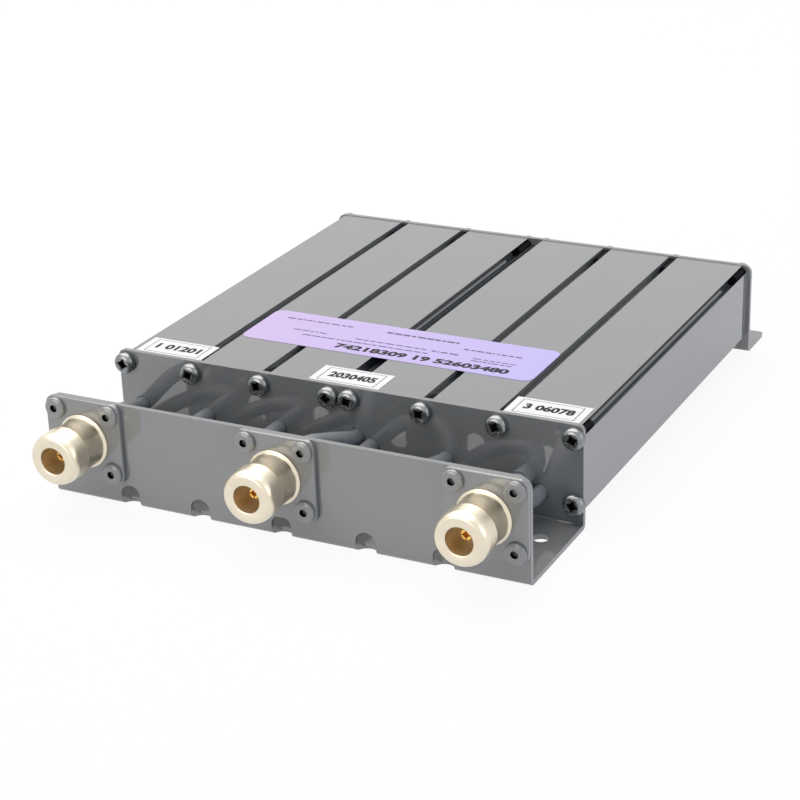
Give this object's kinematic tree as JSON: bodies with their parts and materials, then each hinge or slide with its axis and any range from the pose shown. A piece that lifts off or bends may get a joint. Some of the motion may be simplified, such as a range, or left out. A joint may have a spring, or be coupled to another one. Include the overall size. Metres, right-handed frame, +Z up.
{
  "type": "cavity duplexer",
  "caption": "Flat grey cavity duplexer: slotted extrusions between folded brackets, coaxial sockets on the front lip, looped coaxial leads behind them.",
  "frame": {"origin": "bottom centre of the overall box, on the mounting surface", "axes": "+X to the right seen from the sockets, +Y from the sockets to the mounting foot, +Z up"},
  "size_m": [0.1566, 0.217, 0.0323],
  "materials": {
    "bracket_paint": "semi gloss grey",
    "profile_paint": "semi gloss grey",
    "nickel": "bright nickel plate",
    "gold": "gold plate",
    "insulator": "fluoropolymer",
    "rivet_aluminium": "bright",
    "zinc_screw": "bright zinc plate",
    "lead_braid": "tinned braid",
    "sleeve": "heat shrink",
    "copper": "bare copper",
    "brass": "machined",
    "lilac_label": "printed film",
    "white_label": "printed film"
  },
  "bodies": {
    "duplexer": {"front_bracket": "bracket_paint", "rear_bracket": "bracket_paint", "cavity_profile_left": "profile_paint", "cavity_profile_right": "profile_paint", "connector_body_left": "nickel", "connector_insulator_left": "insulator", "connector_contact_left": "gold", "connector_body_middle": "nickel", "connector_insulator_middle": "insulator", "connector_contact_middle": "gold", "connector_body_right": "nickel", "connector_insulator_right": "insulator", "connector_contact_right": "gold", "connector_rivets": "rivet_aluminium", "front_screws": "zinc_screw", "rear_screws": "zinc_screw", "coax_left_port": "lead_braid", "coax_1_2": "lead_braid", "coax_2_3": "lead_braid", "coax_3_antenna": "lead_braid", "coax_antenna_4": "lead_braid", "coax_4_5": "lead_braid", "coax_5_6": "lead_braid", "coax_right_port": "lead_braid", "lead_sleeve": "sleeve", "resonator_tube_1": "copper", "coupling_loop_1": "copper", "resonator_tube_2": "copper", "coupling_loop_2": "copper", "resonator_tube_3": "copper", "coupling_loop_3": "copper", "resonator_tube_4": "copper", "coupling_loop_4": "copper", "resonator_tube_5": "copper", "coupling_loop_5": "copper", "resonator_tube_6": "copper", "coupling_loop_6": "copper", "tuner_bushes": "brass", "lock_nuts": "brass", "nameplate_label": "lilac_label", "port_label_left": "white_label", "port_label_middle": "white_label", "port_label_right": "white_label"},
    "tuner_1": {"tuning_screw_1": "brass"},
    "tuner_2": {"tuning_screw_2": "brass"},
    "tuner_3": {"tuning_screw_3": "brass"},
    "tuner_4": {"tuning_screw_4": "brass"},
    "tuner_5": {"tuning_screw_5": "brass"},
    "tuner_6": {"tuning_screw_6": "brass"}
  },
  "joints": [
    {"name": "tuner_advance_1", "type": "slide", "parent": "duplexer", "child": "tuner_1", "axis": [0, 1, 0], "range_m": [-0.004, 0.004]},
    {"name": "tuner_advance_2", "type": "slide", "parent": "duplexer", "child": "tuner_2", "axis": [0, 1, 0], "range_m": [-0.004, 0.004]},
    {"name": "tuner_advance_3", "type": "slide", "parent": "duplexer", "child": "tuner_3", "axis": [0, 1, 0], "range_m": [-0.004, 0.004]},
    {"name": "tuner_advance_4", "type": "slide", "parent": "duplexer", "child": "tuner_4", "axis": [0, 1, 0], "range_m": [-0.004, 0.004]},
    {"name": "tuner_advance_5", "type": "slide", "parent": "duplexer", "child": "tuner_5", "axis": [0, 1, 0], "range_m": [-0.004, 0.004]},
    {"name": "tuner_advance_6", "type": "slide", "parent": "duplexer", "child": "tuner_6", "axis": [0, 1, 0], "range_m": [-0.004, 0.004]}
  ]
}
